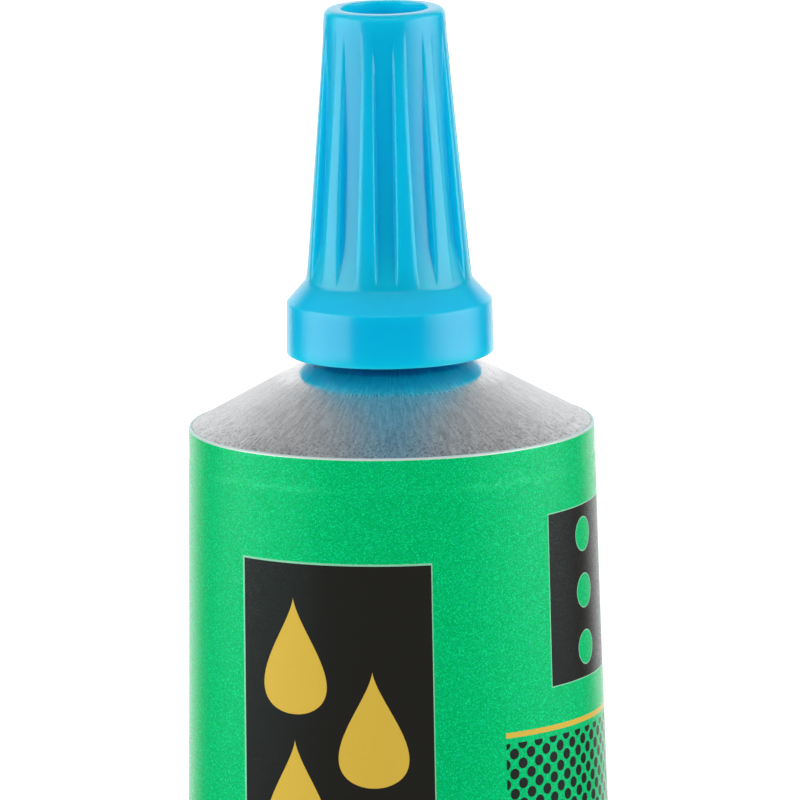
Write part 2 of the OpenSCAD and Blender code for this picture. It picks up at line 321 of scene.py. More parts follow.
def drops(left, top, count):
    """A column of drops. At the share s of a drop's height from its tip, the square of its half
    width goes with s cubed by 1 - s, which is widest at three quarters of the height."""
    from_tip = calc(tree, "WRAP", calc(tree, "SUBTRACT", down_mm, top), drop_step, 0.0)
    share = calc(tree, "DIVIDE", from_tip, drop_h)
    room = calc(tree, "MULTIPLY", calc(tree, "POWER", share, 3.0), calc(tree, "SUBTRACT", 1.0, share))
    reach = calc(tree, "MULTIPLY", room, drop_half_w ** 2 / (drop_widest ** 3 * (1 - drop_widest)))
    off = calc(tree, "SUBTRACT", round_mm, left)
    column = calc(tree, "LESS_THAN", calc(tree, "MULTIPLY", off, off), reach)
    return both(column, between(down_mm, top, top + count * drop_step))


panel_middle = (panel_left + panel_right) / 2
drop_mask = either(
    drops(panel_middle - drops_apart / 2, drops_top, drop_count),
    drops(panel_middle + drops_apart / 2, drops_top + drop_step / 2, drop_count - 1))

# Black plate with a thin hairline and three round windows, at the right of the panel
plate_left, plate_right, plate_top, plate_bottom = 9.4, 16.4, 3.8, 13.2
plate_line_w = line_w / 2
window_r, window_step = 0.95, 3.1
window_x = (plate_left + plate_right) / 2
plate_mask = panel(plate_left, plate_right, plate_top, plate_bottom)
plate_frame = panel(
    plate_left - plate_line_w, plate_right + plate_line_w,
    plate_top - plate_line_w, plate_bottom + plate_line_w)
for i in (-1, 0, 1):
    window_y = (plate_top + plate_bottom) / 2 + i * window_step
    window = disc(round_mm, down_mm, window_r, window_x, window_y)
    inside_line = disc(round_mm, down_mm, window_r - plate_line_w, window_x, window_y)
    plate_mask = without(plate_mask, window)
    plate_frame = without(plate_frame, inside_line)

# Block of dots under a yellow rule, below the plate
block_left, block_right, block_top, block_bottom = 6.1, 24.0, 15.9, 80.0
dot_step, dot_r = 1.1, 0.3
rule_w = 0.3


def dot_lattice(shift):
    """Dots at every step round and down, moved by a shift: each place is wrapped to its own dot."""
    across, down = (
        calc(tree, "WRAP", place, shift + dot_step / 2, shift - dot_step / 2)
        for place in (round_mm, down_mm))
    return disc(across, down, dot_r, shift, shift)


dots = either(dot_lattice(0.0), dot_lattice(dot_step / 2))
block_mask = both(dots, panel(block_left, block_right, block_top, block_bottom))
block_rule = panel(block_left, block_right, block_top - 2 * rule_w, block_top - rule_w)

# A black band and a broader yellow rule all round, above the tail
band_top, band_bottom = 84.0, 90.0
band_rule_w = 2 * rule_w
band_mask = between(down_mm, band_top, band_bottom)
band_rule = between(down_mm, band_top - 2 * band_rule_w, band_top - band_rule_w)

black_mask = either(either(panel_mask, plate_mask), either(block_mask, band_mask))
yellow_mask = either(drop_mask, either(block_rule, band_rule))
print_mask = either(black_mask, yellow_mask)

# The edge that the trimming left bare wanders a little, and the inside is bare too
cloud = noise(tree, wall_place, cloud_scale, detail=2.0)
edge_line, edge_wander = -0.01, 0.06
bare_mask = either(
    calc(tree, "LESS_THAN", down_mm, calc(tree, "MULTIPLY_ADD", cloud, edge_wander, edge_line)),
    calc(tree, "LESS_THAN", wall_uv.outputs[1], inside_v))

grain = effect(tree, fine_grain, lacquer_cells)
marks = effect(tree, scuffs, scuff_scale)["Mark"]
coat = blend(tree, calc(tree, "POWER", grain["Tone"], tone_power), dark_green, pale_green)
coat = blend(tree, calc(tree, "MULTIPLY", cloud, cloud_shade), coat, dark_green)
coat = blend(tree, grain["Spark"], coat, flake_green)
coat = blend(tree, either(panel_frame, plate_frame), coat, hairline)
coat = blend(tree, black_mask, coat, ink_black)
coat = blend(tree, yellow_mask, coat, ink_yellow)
coat = blend(tree, bare_mask, coat, bare_metal)
flake = calc(tree, "MULTIPLY_ADD", grain["Spark"], flake_spark, flake_base)
flake = both(flake, calc(tree, "SUBTRACT", 1.0, print_mask))
rough = calc(tree, "MULTIPLY_ADD", grain["Tone"], rough_grain, rough_base)
rough = calc(tree, "MULTIPLY_ADD", marks, rough_scuff, rough)
rough = calc(tree, "MULTIPLY_ADD", bare_mask, rough_bare, rough)
print_height = calc(tree, "MULTIPLY_ADD", print_mask, ink_height, grain["Swell"])
feed(tree, shader, {
    "Base Color": coat,
    "Metallic": either(flake, calc(tree, "MULTIPLY", bare_mask, bare_shine)),
    "Roughness": rough,
    "Coat Weight": calc(tree, "MULTIPLY", grain["Spark"], flake_coat),
    "Coat Roughness": 0.18,
    "Specular IOR Level": lacquer_gloss,
    "Specular Tint": lacquer_tint,
    "Normal": relief(tree, print_height, strength=0.5, depth=0.02)})

# Heights of the rings: down the inside, up the outside, and over the rounded edge. The edge stands a
# little over the rim and bends in to the shoulder's seat.
edge_r, edge_up, edge_lip = 0.14, 0.1, 0.05
lip_drop, lip_h, inside_drop = 0.02, 0.15, 0.4
fine_h = 3.0
inside_rows, outside_rows, fine_rows, edge_rows, wall_size = 40, 150, 28, 9, 288
edge_top_z = rim_z + edge_up
inner_z = np.concatenate([
    [edge_top_z - lip_drop, rim_z - lip_h], np.linspace(rim_z - inside_drop, tail_z, inside_rows)])
lip = edge_lip * (inner_z > rim_z)
outer_z = np.concatenate([
    np.linspace(tail_z, rim_z - fine_h, outside_rows, endpoint=False),
    np.linspace(rim_z - fine_h, edge_top_z - edge_r, fine_rows)])
edge_turn = np.linspace(0, np.pi / 2, edge_rows)[1:]
edge_z = edge_top_z - edge_r * (1 - np.sin(edge_turn))
collar_in, collar_above, collar_below = 0.03, 0.1, 0.3
wave_depth, wave_side, wave_slow, wave_slower = 0.12, 0.3, 9.0, 14.0
wave_start, wave_full, wave_fade, wave_end = 4.0, 45.0, 70.0, 96.0


def wall_outside(z, drawn_in):
    """Rings of the wall's outside. The collar is drawn in by a few hundredths of a millimetre. Below
    it the soft metal waves by about a tenth: the product of two slow sines, largest half way down."""
    half_w, half_t = flat_section(z)
    collar_z = rim_z - collar_h
    lead = drawn_in + collar_in * smooth(collar_z - collar_below, collar_z + collar_above, z)
    rings = flat_rings(z, half_w - lead, half_t - lead, wall_size)
    turn = np.linspace(-np.pi, np.pi, wall_size, endpoint=False)
    down = (rim_z - z)[:, None]
    wave = np.sin(2 * turn + down / wave_slow) * np.sin(3 * turn - down / wave_slower + 1)
    wave *= wave_depth * smooth(wave_start, wave_full, down) * smooth(wave_end, wave_fade, down)
    rings[..., 0] += wave_side * wave * np.sin(turn)
    rings[..., 1] -= wave * np.cos(turn)
    return rings


wall_rings = np.concatenate([
    flat_rings(inner_z, *flat_inside(inner_z, wall_t + lip), wall_size),
    wall_outside(outer_z, 0.0),
    wall_outside(edge_z, edge_r * (1 - np.cos(edge_turn)))])
v_gap = 0.01
wall_v = np.concatenate([
    np.linspace(0, inside_v - v_gap, len(inner_z)),
    inside_v + v_gap + (1 - 2 * v_gap - inside_v) * (outer_z - tail_z) / (rim_z - tail_z),
    1 - v_gap * np.linspace(0.8, 0.2, len(edge_z)), [1.0]])
wall = skin("tube_wall_dressed", wall_rings, wall_v, lacquer, closed=True)
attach(wall, "tube")
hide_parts("tube_wall")


# Shoulder: the cone that closes the tube, with its threaded neck and slender nozzle, all one piece
# of bare aluminium. The metal flowed outwards as it was struck, which left fine streaks in it.
seat_r, shoulder_slope, shoulder_t = 10.79, 29.4, 0.7
skirt_h, skirt_t, skirt_taper = 1.5, 0.4, 0.03
neck_r, neck_h, neck_bore_r = 2.95, 3.8, 1.6
thread_pitch, thread_depth = 1.5, 0.5
crest_share, root_share = 0.1, 0.25
runout_before, runout_after = 0.02, 0.08
nozzle_r, tip_r, tip_len, channel_r, bevel_rise = 2.2, 1.3, 1.4, 0.8, 1.2
seat_drop = 0.01
slope_rise = np.tan(np.radians(shoulder_slope))
neck_z = rim_z + (seat_r - neck_r) * slope_rise
neck_top_z = neck_z + neck_h
membrane_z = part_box("nozzle_membrane")[0].z / mm
tip_foot_z = membrane_z - tip_len
arc_steps = 6
alike = 0.01


def rounded(corners, closed=False):
    """A profile from its corners (across, up, radius, steps). A corner becomes an arc that touches
    both of its sides, at the radius over the tangent of half its angle from the corner. The straight
    side after it is cut into the steps given."""
    sites = np.array([corner[:2] for corner in corners], float)
    arcs = []
    for i, (_, _, radius, _) in enumerate(corners):
        here = sites[i]
        if radius == 0:
            arcs.append(here[None])
            continue
        back, ahead = sites[i - 1] - here, sites[(i + 1) % len(corners)] - here
        back, ahead = back / np.linalg.norm(back), ahead / np.linalg.norm(ahead)
        half = np.arccos(back @ ahead) / 2
        middle = here + (back + ahead) / np.linalg.norm(back + ahead) * radius / np.sin(half)
        start, stop = here + back * radius / np.tan(half), here + ahead * radius / np.tan(half)
        opening = np.pi - 2 * half
        share = np.linspace(0, 1, arc_steps + 1)[:, None]
        arcs.append(middle + (np.sin((1 - share) * opening) * (start - middle)
                              + np.sin(share * opening) * (stop - middle)) / np.sin(opening))
    points = []
    for i, (_, _, _, steps) in enumerate(corners):
        points.append(arcs[i])
        if closed or i + 1 < len(corners):
            share = np.linspace(0, 1, steps + 1)[1:-1, None]
            points.append(arcs[i][-1] * (1 - share) + arcs[(i + 1) % len(corners)][0] * share)
    return np.vstack(points)


def along(profile, closed=False):
    """The share of a profile's length at each of its points, and at its return if it is closed. An
    open one leaves a gap at both ends for the fans that close it."""
    ends = np.vstack([profile, profile[:1]]) if closed else profile
    steps = np.linalg.norm(np.diff(ends, axis=0), axis=1)
    length = np.concatenate([[0], np.cumsum(steps)]) / steps.sum()
    return length if closed else v_gap + (1 - 2 * v_gap) * length


def turned(profile, size):
    """Rings of a profile turned about the tube's axis, from the back by the front to the back."""
    turn = np.linspace(-np.pi, np.pi, size, endpoint=False)
    r, z = profile[:, :1], profile[:, 1:]
    return np.stack([r * np.sin(turn), -r * np.cos(turn), np.broadcast_to(z, (len(r), size))], -1)


def thread(z, turn, start_z, turns, first=0.0):
    """Share of a thread's depth at heights z and turns about the axis. The ridge's middle climbs one
    pitch in a turn; its flanks fall from the crest's width to the root's, and its ends run out."""
    around = (turn - np.pi / 2) / (2 * np.pi)
    climb = (z - start_z) / thread_pitch - around
    ridge = smooth(root_share, crest_share, np.abs(climb - np.round(climb)))
    count = np.round(climb) + around
    last = first + turns
    return ridge * smooth(first - runout_before, first + runout_after, count) * smooth(
        last + runout_before, last - runout_after, count)


# Tones of the metal: fine streaks along the flow, broad shades, and dark specks, most near the rim
streak_dark, streak_bright = paint(172, 174, 177), paint(248, 248, 248)
shade_grey, speck_grey = paint(170, 173, 178), paint(104, 106, 110)
streak_scale, streak_low, streak_high = (350.0, 34.0, 1.0), 0.26, 0.74
shade_scale, shade_share = (60.0, 3.0, 1.0), 0.35
speck_cells, speck_from, speck_share, rim_speck_share = 10000.0, 0.55, 0.25, 0.7
speck_top, speck_foot = 1.4, 0.1
aluminium, tree, shader = new_finish("bare_aluminium")
metal_uv = add(tree, "UVMap", uv_map="OFBake").outputs[0]
streak_map = add(tree, "Mapping", {"Vector": metal_uv, "Scale": streak_scale})
streaks = noise(tree, streak_map.outputs[0], scale=1.0, detail=5.0, roughness=0.65)
shade_map = add(tree, "Mapping", {"Vector": metal_uv, "Scale": shade_scale})
shades = noise(tree, shade_map.outputs[0], scale=1.0, detail=2.0)
metal_up = add(tree, "SeparateXYZ", {0: places(tree)}).outputs[2]
over_rim = calc(tree, "SUBTRACT", calc(tree, "DIVIDE", metal_up, mm), rim_z)
specks = effect(tree, fine_grain, speck_cells)
near_rim = ramp(tree, over_rim, speck_top, speck_foot, speck_share, rim_speck_share)
dark_specks = calc(tree, "MULTIPLY", near_rim, ramp(tree, specks["Tone"], speck_from, 1.0))
metal_tone = blend(tree, ramp(tree, streaks, streak_low, streak_high), streak_dark, streak_bright)
metal_tone = blend(tree, calc(tree, "MULTIPLY", shades, shade_share), metal_tone, shade_grey)
metal_tone = blend(tree, dark_specks, metal_tone, speck_grey)
# The top of the cone is smoother than its foot, and the neck and the nozzle above it are satin
polish, polish_start, polish_end = 0.35, 2.5, 3.0
satin, satin_start, satin_end = 1.7, 4.1, 4.4
metal_rough, metal_rough_streak, metal_rough_rub, rub_scale = 0.24, 0.2, 0.06, 200.0
speck_height = 0.5
rubs = effect(tree, scuffs, rub_scale)["Mark"]
cone_share = ramp(tree, over_rim, polish_start, polish_end, 1.0, polish)
neck_share = ramp(tree, over_rim, satin_start, satin_end, polish, satin)
rough = calc(tree, "MULTIPLY_ADD", streaks, metal_rough_streak, metal_rough)
rough = calc(tree, "MULTIPLY_ADD", rubs, metal_rough_rub, rough)
rough = calc(tree, "MULTIPLY", rough, calc(tree, "MAXIMUM", cone_share, neck_share))
metal_height = calc(tree, "MULTIPLY_ADD", specks["Swell"], speck_height, streaks)
feed(tree, shader, {
    "Base Color": metal_tone,
    "Metallic": 1.0,
    "Roughness": rough,
    "Normal": relief(tree, metal_height, strength=0.35, depth=0.02)})

inside_z = rim_z - shoulder_t / np.cos(np.radians(shoulder_slope))
skirt_r = seat_r - skirt_taper
shoulder_profile = rounded([
    (channel_r, membrane_z, 0.0, 4),
    (channel_r, neck_top_z, 0.0, 1),
    (neck_bore_r, neck_top_z - (neck_bore_r - channel_r) * bevel_rise, 0.0, 4),
    (neck_bore_r, inside_z + (seat_r - neck_bore_r) * slope_rise, 0.3, 6),
    (skirt_r - skirt_t, inside_z + (seat_r - skirt_r + skirt_t) * slope_rise, 0.0, 1),
    (skirt_r - skirt_t, rim_z - skirt_h, 0.1, 1),
    (skirt_r, rim_z - skirt_h, 0.1, 1),
    (seat_r, edge_top_z - seat_drop, 0.0, 30),
    (neck_r, neck_z, 0.5, 60),
    (neck_r, neck_top_z, 0.15, 1),
    (nozzle_r, neck_top_z + (neck_r - nozzle_r) * bevel_rise, 0.2, 4),
    (nozzle_r, tip_foot_z - (nozzle_r - tip_r) * bevel_rise, 0.2, 1),
    (tip_r, tip_foot_z, 0.2, 3),
    (tip_r, membrane_z, 0.0, 1),
], closed=True)
shoulder_size = 240
shoulder_rings = turned(shoulder_profile, shoulder_size)
shoulder_turn = np.linspace(-np.pi, np.pi, shoulder_size, endpoint=False)
root_w = 2 * root_share * thread_pitch
neck_turns = (neck_h - 2 * root_w) / thread_pitch
neck_ridge = thread(shoulder_rings[..., 2], shoulder_turn, neck_z + root_w, neck_turns)
on_neck = (np.abs(shoulder_profile[:, 0] - neck_r) < alike) & (shoulder_profile[:, 1] > neck_z)
shoulder_rings[on_neck, :, :2] *= (1 + neck_ridge * thread_depth / neck_r)[on_neck, :, None]
shoulder_v = along(shoulder_profile, closed=True)
shoulder = skin("shoulder_dressed", shoulder_rings, shoulder_v, aluminium, closed=True)
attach(shoulder, "tube")
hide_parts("shoulder")


# Membrane: the thin disc of the same aluminium that closes the nozzle's tip until the cap's spike
# is pushed through it. It is dished a little where the punch left it.
membrane_low, membrane_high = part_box("nozzle_membrane")
membrane_t = (membrane_high.z - membrane_low.z) / mm
membrane_size = 64
pole_r = 0.05
dish_r, dish_depth = 0.2, 0.06
membrane_profile = rounded([
    (pole_r, membrane_z, 0.0, 8),
    (tip_r, membrane_z, 0.0, 1),
    (tip_r, membrane_z + membrane_t, 0.08, 12),
    (pole_r, membrane_z + membrane_t, 0.0, 1),
])
on_top = membrane_profile[:, 1] > membrane_z + membrane_t / 2
membrane_profile[:, 1] -= dish_depth * smooth(channel_r, dish_r, membrane_profile[:, 0]) * on_top
membrane_rings = turned(membrane_profile, membrane_size)
membrane = skin("nozzle_membrane_dressed", membrane_rings, along(membrane_profile), aluminium)
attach(membrane, "tube")
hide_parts("nozzle_membrane")


# Wad: a disc of white foamed plastic, punched from sheet and pressed into the top of the cap's bore.
# It seals on the nozzle's tip, which has left a ring in its lower face.
wad_low, wad_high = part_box("cap_wad")
wad_z, wad_top_z = wad_low.z / mm, wad_high.z / mm
wad_r = wad_high.x / mm
wad_size = 72
ring_r, ring_w, ring_depth = 1.05, 0.18, 0.05
foam_white, foam_shade = paint(244, 244, 240), paint(222, 222, 214)
foam_rough, foam_rough_cell = 0.55, 0.3
foam, tree, shader = new_finish("wad_foam")
foam_cells = add(tree, "TexVoronoi", {"Vector": places(tree), "Scale": 6000.0}).outputs[0]
feed(tree, shader, {
    "Base Color": blend(tree, foam_cells, foam_white, foam_shade),
    "Roughness": calc(tree, "MULTIPLY_ADD", foam_cells, foam_rough_cell, foam_rough),
    "Normal": relief(tree, foam_cells, strength=0.4, depth=0.03)})
wad_profile = rounded([
    (pole_r, wad_z, 0.0, 24),
    (wad_r, wad_z, 0.12, 2),
    (wad_r, wad_top_z, 0.12, 6),
    (pole_r, wad_top_z, 0.0, 1),
])
on_face = wad_profile[:, 1] < wad_z + ring_depth
wad_profile[:, 1] += ring_depth * np.exp(-((wad_profile[:, 0] - ring_r) / ring_w) ** 2) * on_face
wad = skin("cap_wad_dressed", turned(wad_profile, wad_size), along(wad_profile), foam)
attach(wad, "wad")
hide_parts("cap_wad")


# Cap: one injection moulding of glossy blue plastic, screwed onto the neck. Twelve shallow flutes
# give the tall grip its hold, and the socket in its top holds the spike that opens the nozzle.
cap_low, cap_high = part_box("cap")
cap_z, cap_top_z = cap_low.z / mm, cap_high.z / mm
flange_r, flange_h, flange_draft = 5.6, 2.85, 0.05
grip_r, grip_foot, cap_top_r = 4.5, 4.03, 3.25
socket_r, socket_depth = 2.33, 4.0
pocket_r, pocket_depth, web_t = 1.45, 1.6, 0.8
spike_r, spike_tip_r, spike_clear = 0.6, 0.06, 0.2
thread_bore_r, nozzle_bore_r, tip_bore_r, mouth_flare = 3.67, 2.55, 1.65, 0.85
flute_count, flute_depth, flute_turn, flute_share = 12, 0.43, -1.8, 0.8
flute_floor, flute_side, flute_edge = 0.49, 0.59, 0.84
flute_foot, flute_runout, flute_top, flute_full = 4.2, 2.6, 17.9, 8.9
floor_lead, side_lead, rib_fall = 0.03, 0.02, 0.16
side_columns, edge_columns, floor_columns, rib_columns = 7, 6, 6, 6
grip_margin = 0.5
cap_blue, cap_light_blue = paint(0, 181, 222), paint(0, 193, 234)
cap_rough, cap_rough_flow, cap_rough_scuff = 0.16, 0.08, 0.03
mould_cells, mould_height, cap_scuff_scale = 5200.0, 0.4, 260.0
socket_z = cap_top_z - socket_depth
pocket_z = socket_z - pocket_depth
ceiling_z = pocket_z - web_t

plastic, tree, shader = new_finish("cap_plastic")
flow_map = add(tree, "Mapping", {"Vector": places(tree), "Scale": (1.0, 1.0, 0.25)})
flow = noise(tree, flow_map.outputs[0], scale=420.0, detail=3.0)
mould_grain = effect(tree, fine_grain, mould_cells)["Swell"]
cap_marks = effect(tree, scuffs, cap_scuff_scale)["Mark"]
rough = calc(tree, "MULTIPLY_ADD", flow, cap_rough_flow, cap_rough)
cap_height = calc(tree, "MULTIPLY_ADD", mould_grain, mould_height, flow)
feed(tree, shader, {
    "Base Color": blend(tree, flow, cap_blue, cap_light_blue),
    "Roughness": calc(tree, "MULTIPLY_ADD", cap_marks, cap_rough_scuff, rough),
    "Subsurface Weight": 0.8,
    "Subsurface Radius": (0.3, 0.7, 1.0),
    "Subsurface Scale": 3.5 * mm,
    "Normal": relief(tree, cap_height, strength=0.12, depth=0.02)})

cap_profile = rounded([
    (pole_r, ceiling_z, 0.0, 3),
    (tip_bore_r, ceiling_z, 0.1, 3),
    (tip_bore_r, tip_foot_z, 0.1, 1),
    (nozzle_bore_r, tip_foot_z - (nozzle_bore_r - tip_bore_r) * bevel_rise, 0.1, 3),
    (nozzle_bore_r, neck_top_z + (thread_bore_r - nozzle_bore_r) * bevel_rise, 0.1, 1),
    (thread_bore_r, neck_top_z, 0.1, 36),
    (thread_bore_r, cap_z + mouth_flare, 0.1, 1),
    (thread_bore_r + mouth_flare, cap_z, 0.08, 2),
    (flange_r, cap_z, 0.15, 5),
    (flange_r - flange_draft, cap_z + flange_h, 0.25, 1),
    (grip_r, cap_z + grip_foot, 0.5, 80),
    (cap_top_r, cap_top_z, 0.4, 1),
    (socket_r, cap_top_z, 0.12, 4),
    (socket_r, socket_z, 0.15, 2),
    (pocket_r, socket_z, 0.1, 2),
    (pocket_r, pocket_z, 0.1, 2),
    (spike_r, pocket_z, 0.1, 5),
    (spike_tip_r, socket_z - spike_clear, 0.0, 1),
])


def flute_turns(r):
    """Turns of the cap's columns at radii r. The columns of a flute lie at set distances from its
    middle, so that they follow its straight edges up the taper; the rest share the rib evenly."""
    half_step = np.pi / flute_count
    edge = np.minimum(flute_edge / r, flute_share * half_step)
    side = np.concatenate([
        np.linspace(flute_floor - floor_lead, flute_side, side_columns),
        np.linspace(flute_side, flute_edge, edge_columns)[1:]]) / flute_edge
    across = np.concatenate([-side[::-1], np.linspace(-side[0], side[0], floor_columns)[1:-1], side])
    rib = np.linspace(0, 1, rib_columns)[1:-1]
    one = np.concatenate([edge * across, edge + rib * 2 * (half_step - edge)], 1)
    middles = np.radians(flute_turn) - np.pi + 2 * half_step * np.arange(flute_count)
    return (middles[:, None] + one[:, None, :]).reshape(len(r), -1)


def flute_cut(h, turn, r):
    """Depth of the flutes at heights h on the cap. A flute has a level floor, two steep sides, and
    ribs whose edges fall away with the square of the distance. Its depth grows from the top down and
    runs out at the foot, each in a quarter of a sine."""
    step = 2 * np.pi / flute_count
    off = (turn - np.radians(flute_turn) + step / 2) % step - step / 2
    side = np.abs(off) * r
    foot = np.sin(np.pi / 2 * np.clip((h - flute_foot) / flute_runout, 0, 1))
    fall = np.sin(np.pi / 2 * np.clip((flute_top - h) / flute_full, 0, 1))
    rounding = rib_fall * np.clip((flute_edge - side) / (flute_edge - flute_side), 0, 1) ** 2
    steep = smooth(flute_side + side_lead, flute_floor, side)
    return flute_depth * foot * fall * (rounding * (1 - steep) + steep)


cap_turn = flute_turns(cap_profile[:, :1])
cap_r = np.broadcast_to(cap_profile[:, :1], cap_turn.shape)
cap_up = np.broadcast_to(cap_profile[:, 1:], cap_turn.shape)
on_grip = (cap_profile[:, :1] > cap_top_r - grip_margin) & (cap_profile[:, 1:] > cap_z + flange_h)
in_bore = (np.abs(cap_profile[:, :1] - thread_bore_r) < alike) & (cap_profile[:, 1:] < neck_top_z)
# The cap's own thread runs half a pitch above the neck's, from the mouth to the top of the neck
cap_start_z = neck_z + root_w + thread_pitch / 2
cap_first = (cap_z + mouth_flare + root_w / 2 - cap_start_z) / thread_pitch
cap_turns = (neck_top_z - root_w / 2 - cap_start_z) / thread_pitch - cap_first
cap_ridge = thread(cap_up, cap_turn, cap_start_z, cap_turns, cap_first)
cap_cut = flute_cut(cap_up - cap_z, cap_turn, cap_r) * on_grip + thread_depth * cap_ridge * in_bore
cut_r = cap_r - cap_cut
cap_rings = np.stack([cut_r * np.sin(cap_turn), -cut_r * np.cos(cap_turn), cap_up], -1)
cap = skin("cap_dressed", cap_rings, along(cap_profile), plastic, sharp=60)
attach(cap, "cap")
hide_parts("cap")


# Tail sealant: a bead of cream latex, sprayed inside the wall's open end before the filling. It closes
# the narrow end above the fold once the wall is pressed flat.
sealant_h, fill_gap = 2.0, 0.06
fill_depth = wall_t + fill_gap
bead_rows, fill_size = 9, 96
latex_cream, latex_dark = paint(238, 230, 200), paint(224, 212, 172)
latex_rough, latex_rough_cloud = 0.5, 0.3
latex, tree, shader = new_finish("sealant_latex")
latex_cloud = noise(tree, places(tree), scale=1500.0, detail=3.0)
feed(tree, shader, {
    "Base Color": blend(tree, latex_cloud, latex_cream, latex_dark),
    "Roughness": calc(tree, "MULTIPLY_ADD", latex_cloud, latex_rough_cloud, latex_rough),
    "Normal": relief(tree, latex_cloud, strength=0.4, depth=0.05)})
bead_z = np.linspace(tail_z, tail_z + sealant_h, bead_rows)
bead_w, bead_half_t = flat_inside(bead_z, fill_depth)
bead_rings = flat_rings(bead_z, bead_w, bead_half_t, fill_size)
bead_line = np.stack([bead_w, bead_z], -1)
sealant = skin("tail_sealant_dressed", bead_rings, along(bead_line), latex)
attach(sealant, "tube")
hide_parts("tail_sealant")


# Glue gel: the clear pale yellow fill, pressed up into the shoulder and the neck's bore. It takes the
# form of the metal round it.
fill_rows = 50
gel_pale, gel_amber = paint(240, 232, 196), paint(226, 212, 160)
gel_rough, gel_rough_cloud = 0.06, 0.12
gel, tree, shader = new_finish("glue_gel_clear")
gel_place = places(tree)
gel_cloud = noise(tree, gel_place, scale=220.0, detail=3.0)
gel_bubbles = add(tree, "TexVoronoi", {"Vector": gel_place, "Scale": 700.0}).outputs[0]
feed(tree, shader, {
    "Base Color": blend(tree, gel_cloud, gel_pale, gel_amber),
    "Roughness": calc(tree, "MULTIPLY_ADD", gel_cloud, gel_rough_cloud, gel_rough),
    "Subsurface Weight": 0.6,
    "Subsurface Scale": 2.0 * mm,
    "Normal": relief(tree, gel_bubbles, strength=0.2, depth=0.1)})
fill_z = np.linspace(tail_z + sealant_h + fill_gap, rim_z - skirt_h - fill_gap, fill_rows)
fill_w, fill_half_t = flat_inside(fill_z, fill_depth)
fill_r = skirt_r - skirt_t - fill_gap
fill_top = inside_z - fill_gap / np.cos(np.radians(shoulder_slope))
bore_fill_r = neck_bore_r - fill_gap
dome_r, dome_h = 0.1, 0.02
fill_profile = rounded([
    (fill_r, rim_z - skirt_h - fill_gap, 0.05, 2),
    (fill_r, fill_top + (seat_r - fill_r) * slope_rise, 0.1, 10),
    (bore_fill_r, fill_top + (seat_r - bore_fill_r) * slope_rise, 0.2, 4),
    (bore_fill_r, neck_z, 0.3, 3),
    (dome_r, neck_z + dome_h, 0.0, 1),
])[1 + arc_steps:]
fill_rings = np.concatenate([
    flat_rings(fill_z, fill_w, fill_half_t, fill_size), turned(fill_profile, fill_size)])
fill_line = np.concatenate([np.stack([fill_w, fill_z], -1), fill_profile])
glue = skin("glue_gel_dressed", fill_rings, along(fill_line), gel)
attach(glue, "tube")
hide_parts("glue_gel")


# Tail fold: the end of the wall, pressed flat, turned over to the back and tucked under itself. The
# jaws that crimp it press upright ribs into all its layers.
fold_low, fold_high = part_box("tail_fold")
fold_half_w = fold_high.x / mm
fold_front, fold_back = fold_low.y / mm, fold_high.y / mm
layer_t = 0.42
step_h = 0.7
bend_h = 0.9
tuck_layers = 2.2
rib_step, rib_h, rib_start, rib_full = 1.28, 0.05, 0.3, 1.2
thin_w, thin_share, least_t = 0.3, 0.3, 0.03
rib_rub, rub_from = 0.3, 0.86
edge_rub, edge_rub_h, edge_rub_full = 0.8, 0.35, 0.05
worn_base, worn_grain, worn_scuff, fold_scuff_scale = 0.3, 0.8, 0.2, 150.0
fold_flake, fold_flake_spark, fold_rough, fold_rough_grain = 0.06, 0.25, 0.3, 0.12

folded, tree, shader = new_finish("green_lacquer_fold")
fold_place = add(tree, "SeparateXYZ", {0: places(tree)}).outputs
fold_grain = effect(tree, fine_grain, lacquer_cells)
fold_marks = effect(tree, scuffs, fold_scuff_scale)["Mark"]
# The ribs' crests are rubbed bright by the jaws, and so are the turned edges
rib_wave = calc(tree, "COSINE", calc(tree, "MULTIPLY", fold_place[0], 2 * np.pi / (rib_step * mm)))
rubbed = ramp(tree, rib_wave, rub_from, 1.0, 0.0, rib_rub)
turned_edge = ramp(tree, fold_place[2], edge_rub_h * mm, edge_rub_full * mm, 0.0, edge_rub)
worn = calc(tree, "MAXIMUM", rubbed, turned_edge)
uneven = calc(tree, "MULTIPLY_ADD", fold_grain["Tone"], worn_grain, worn_base)
worn = calc(tree, "MULTIPLY_ADD", fold_marks, worn_scuff, calc(tree, "MULTIPLY", worn, uneven))
worn = calc(tree, "MINIMUM", worn, 1.0)
fold_tone = blend(
    tree, calc(tree, "POWER", fold_grain["Tone"], tone_power), dark_green, pale_green)
flake = calc(tree, "MULTIPLY_ADD", fold_grain["Spark"], fold_flake_spark, fold_flake)
feed(tree, shader, {
    "Base Color": blend(tree, worn, fold_tone, bare_metal),
    "Metallic": calc(tree, "MAXIMUM", worn, flake),
    "Roughness": calc(tree, "MULTIPLY_ADD", fold_grain["Tone"], fold_rough_grain, fold_rough),
    "Specular IOR Level": lacquer_gloss,
    "Specular Tint": lacquer_tint,
    "Normal": relief(tree, fold_grain["Swell"], strength=0.25, depth=0.01)})

front_y = fold_front + layer_t / 2
back_y = fold_back - layer_t / 2
inner_y = (front_y + back_y) / 2
top_z = tail_z - step_h - layer_t / 2
fold_path = rounded([
    (0.0, tail_z, 0.0, 4),
    (front_y, tail_z - bend_h, 0.4, 8),
    (front_y, layer_t / 2, 0.34, 2),
    (back_y, layer_t / 2, 0.34, 10),
    (back_y, top_z, 0.25, 1),
    (inner_y, top_z, 0.25, 8),
    (inner_y, layer_t * tuck_layers, 0.0, 1),
])
